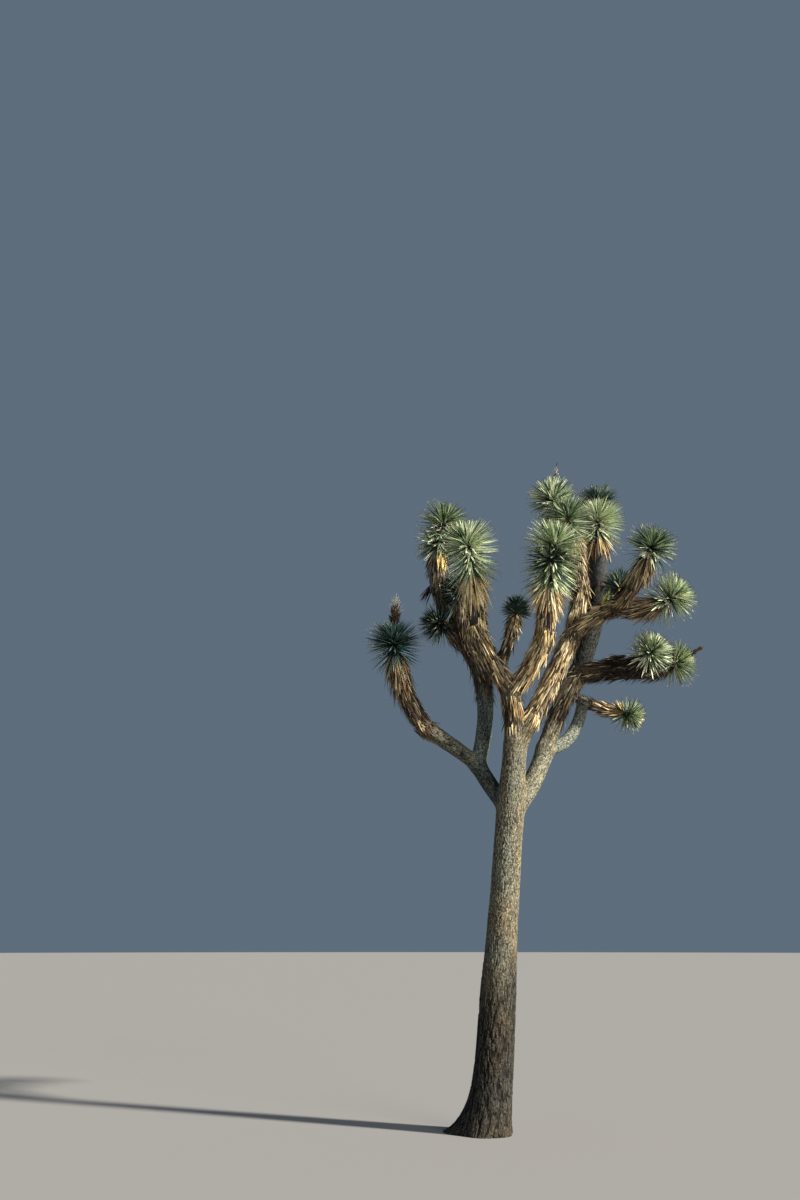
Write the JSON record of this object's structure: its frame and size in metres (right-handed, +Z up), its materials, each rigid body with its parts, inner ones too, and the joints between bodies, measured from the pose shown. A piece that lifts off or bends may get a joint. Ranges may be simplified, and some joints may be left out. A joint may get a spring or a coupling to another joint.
{
  "type": "joshua tree",
  "caption": "Joshua tree: a bare leaning trunk with a root flare, low boughs and a high fork, and heads of bayonet leaves over skirts of dead leaves.",
  "frame": {"origin": "on the flat cut under the trunk, at the trunk's axis at ground level", "axes": "+Z up the tree, -Y towards the viewer of the picture, +X to the viewer's right"},
  "size_m": [3.276, 2.172, 6.3384],
  "materials": {
    "trunk_bark": "dark grey-brown furrowed bark, paler and flakier above",
    "bough_bark": "grey-brown bark with pressed-down dead leaves",
    "leaves": "stiff grey-green bayonet leaves",
    "dead_leaves": "dry straw and tan leaves",
    "leaf_spines": "brown horny leaf tips",
    "flower_stalk": "dry flower stalks"
  },
  "bodies": {
    "root": {"trunk": "trunk_bark", "bough_left": "bough_bark", "arm_left_low": "bough_bark", "arm_left_high": "bough_bark", "bough_middle": "bough_bark", "arm_middle_left": "bough_bark", "arm_middle_right": "bough_bark", "bough_right": "bough_bark", "arm_right_inner": "bough_bark", "arm_right_outer": "bough_bark", "bough_low_right": "bough_bark", "arm_back_right": "bough_bark", "arm_right_low": "bough_bark", "arm_back_high": "bough_bark", "arm_low_outer": "bough_bark", "head_far_left": "leaves", "head_left_top": "leaves", "head_left_back": "leaves", "head_left_side": "leaves", "head_middle_left": "leaves", "head_small_middle": "leaves", "head_middle_right": "leaves", "head_top": "leaves", "head_top_front": "leaves", "head_right_tall": "leaves", "head_back_tall": "leaves", "head_right_high": "leaves", "head_right_outer": "leaves", "head_right_back": "leaves", "head_low_front": "leaves", "head_low_right": "leaves", "head_lowest": "leaves"}
  },
  "joints": []
}
